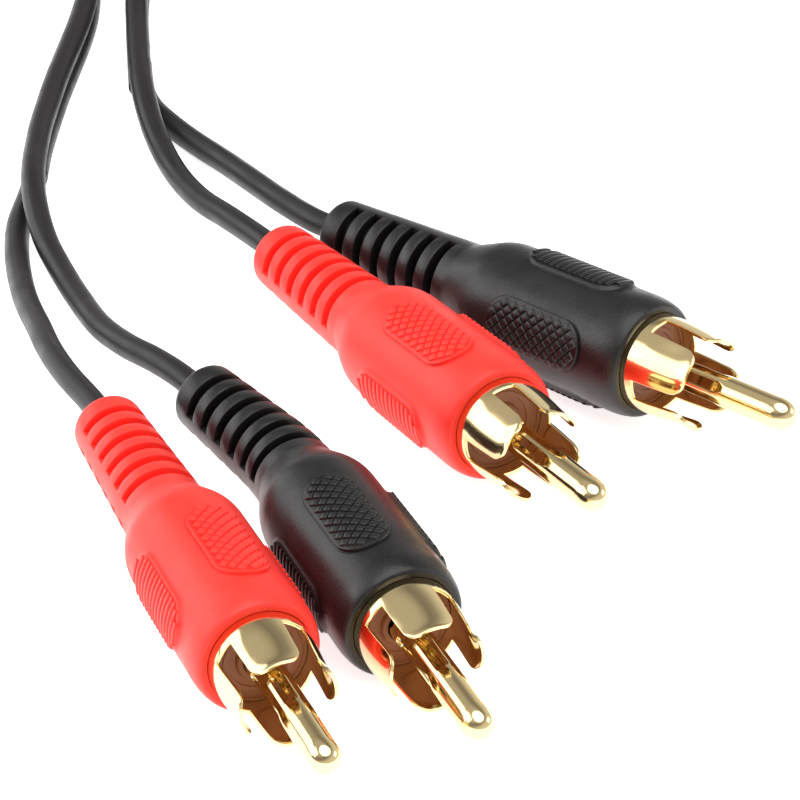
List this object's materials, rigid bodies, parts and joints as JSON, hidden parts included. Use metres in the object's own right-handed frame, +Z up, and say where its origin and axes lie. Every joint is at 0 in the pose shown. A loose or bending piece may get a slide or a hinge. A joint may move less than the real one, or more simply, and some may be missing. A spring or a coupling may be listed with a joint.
{
  "type": "twin phono audio cable",
  "caption": "Twin audio lead with moulded red and black phono plugs, gold-coloured contacts and a flat twin cord whose unseen length is coiled and tied.",
  "frame": {"origin": "on the table, under the middle of the box round the plugs", "axes": "+Z up from the table; +Y from the plugs towards the coil, along the longest side of the box round the plugs; +X to the right as the picture sees it"},
  "size_m": [0.0854, 0.236, 0.0137],
  "materials": {
    "red_pvc": "soft satin PVC with matt textured grip pads",
    "black_pvc": "soft satin PVC with a fine pebbled grain",
    "gold_contact": "bright gold plating on pressed brass",
    "insulator": "brown moulded plastic",
    "cord_jacket": "matt black flexible PVC",
    "core_insulation": "plain pale insulation, hidden inside the moulding",
    "copper_wire": "bare stranded copper, hidden inside the moulding",
    "tie_strap": "matt black strap"
  },
  "bodies": {
    "root": {"front_red_overmould": "red_pvc", "front_red_ground_shell": "gold_contact", "front_red_centre_pin": "gold_contact", "front_red_insulator": "insulator", "front_red_jacket_end": "cord_jacket", "front_red_core_wire": "core_insulation", "front_red_shield_wire": "copper_wire", "front_black_overmould": "black_pvc", "front_black_ground_shell": "gold_contact", "front_black_centre_pin": "gold_contact", "front_black_insulator": "insulator", "front_black_jacket_end": "cord_jacket", "front_black_core_wire": "core_insulation", "front_black_shield_wire": "copper_wire", "back_red_overmould": "red_pvc", "back_red_ground_shell": "gold_contact", "back_red_centre_pin": "gold_contact", "back_red_insulator": "insulator", "back_red_jacket_end": "cord_jacket", "back_red_core_wire": "core_insulation", "back_red_shield_wire": "copper_wire", "back_black_overmould": "black_pvc", "back_black_ground_shell": "gold_contact", "back_black_centre_pin": "gold_contact", "back_black_insulator": "insulator", "back_black_jacket_end": "cord_jacket", "back_black_core_wire": "core_insulation", "back_black_shield_wire": "copper_wire", "front_red_lead": "cord_jacket", "front_black_lead": "cord_jacket", "back_red_lead": "cord_jacket", "back_black_lead": "cord_jacket", "front_twin_cord": "cord_jacket", "back_twin_cord": "cord_jacket", "cord_coil": "cord_jacket", "coil_tie": "tie_strap"}
  },
  "joints": []
}
